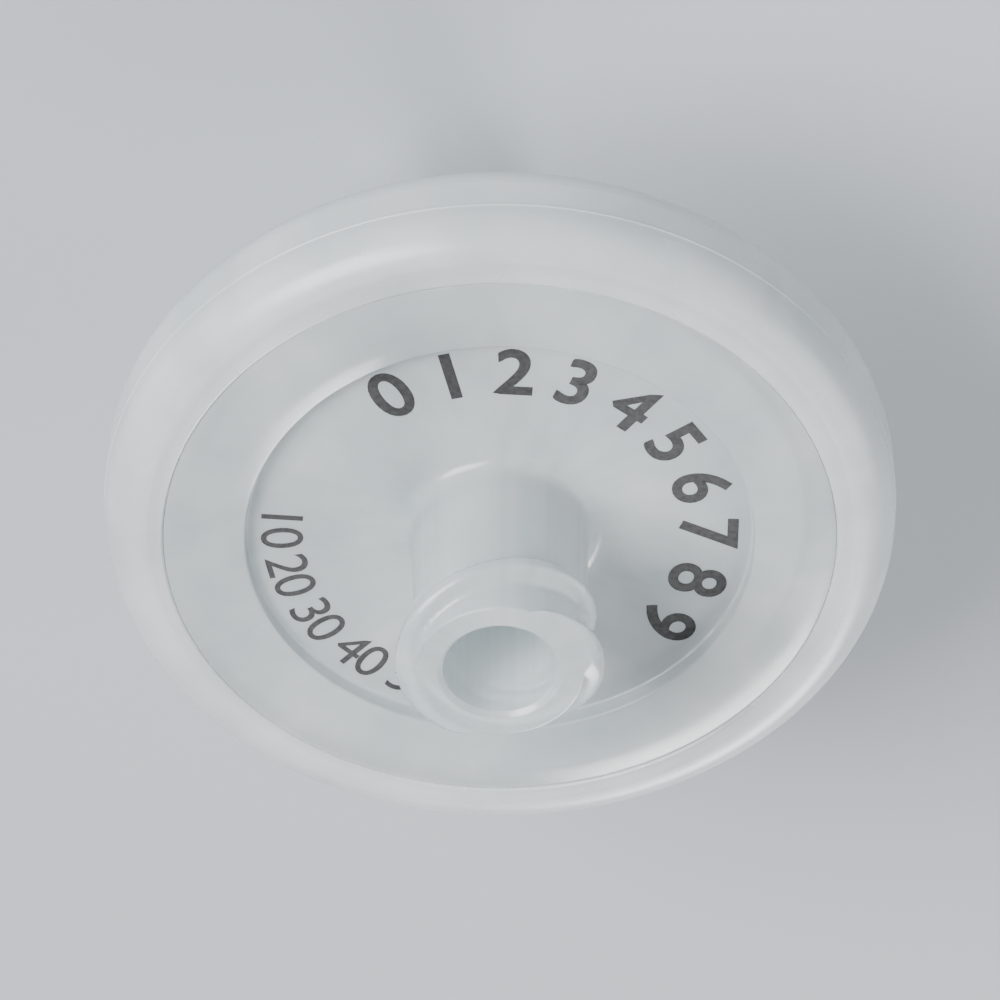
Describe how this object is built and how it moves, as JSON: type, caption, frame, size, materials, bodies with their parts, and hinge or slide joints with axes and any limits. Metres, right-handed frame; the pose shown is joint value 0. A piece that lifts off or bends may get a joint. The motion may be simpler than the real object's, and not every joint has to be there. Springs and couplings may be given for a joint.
{
  "type": "syringe filter",
  "caption": "Disc-shaped luer syringe filter: threaded female inlet socket on one face, tapered male outlet tip on the other, membrane clamped inside a moulded rim.",
  "frame": {"origin": "centre of the flat end of the outlet tip, the lowest point of the filter", "axes": "+Z along the flow axis, from the outlet tip up to the inlet socket; X and Y across the disc, with one start of the lock thread crossing +X at its foot"},
  "size_m": [0.03, 0.03, 0.0248],
  "materials": {
    "housing_polypropylene": "natural translucent polypropylene, satin gloss",
    "rim_polypropylene": "natural polypropylene, milkier where it is thick",
    "membrane_white": "matte white porous film"
  },
  "bodies": {
    "root": {"inlet_housing": "housing_polypropylene", "outlet_housing": "housing_polypropylene", "membrane": "membrane_white", "overmould_ring": "rim_polypropylene"}
  },
  "joints": []
}
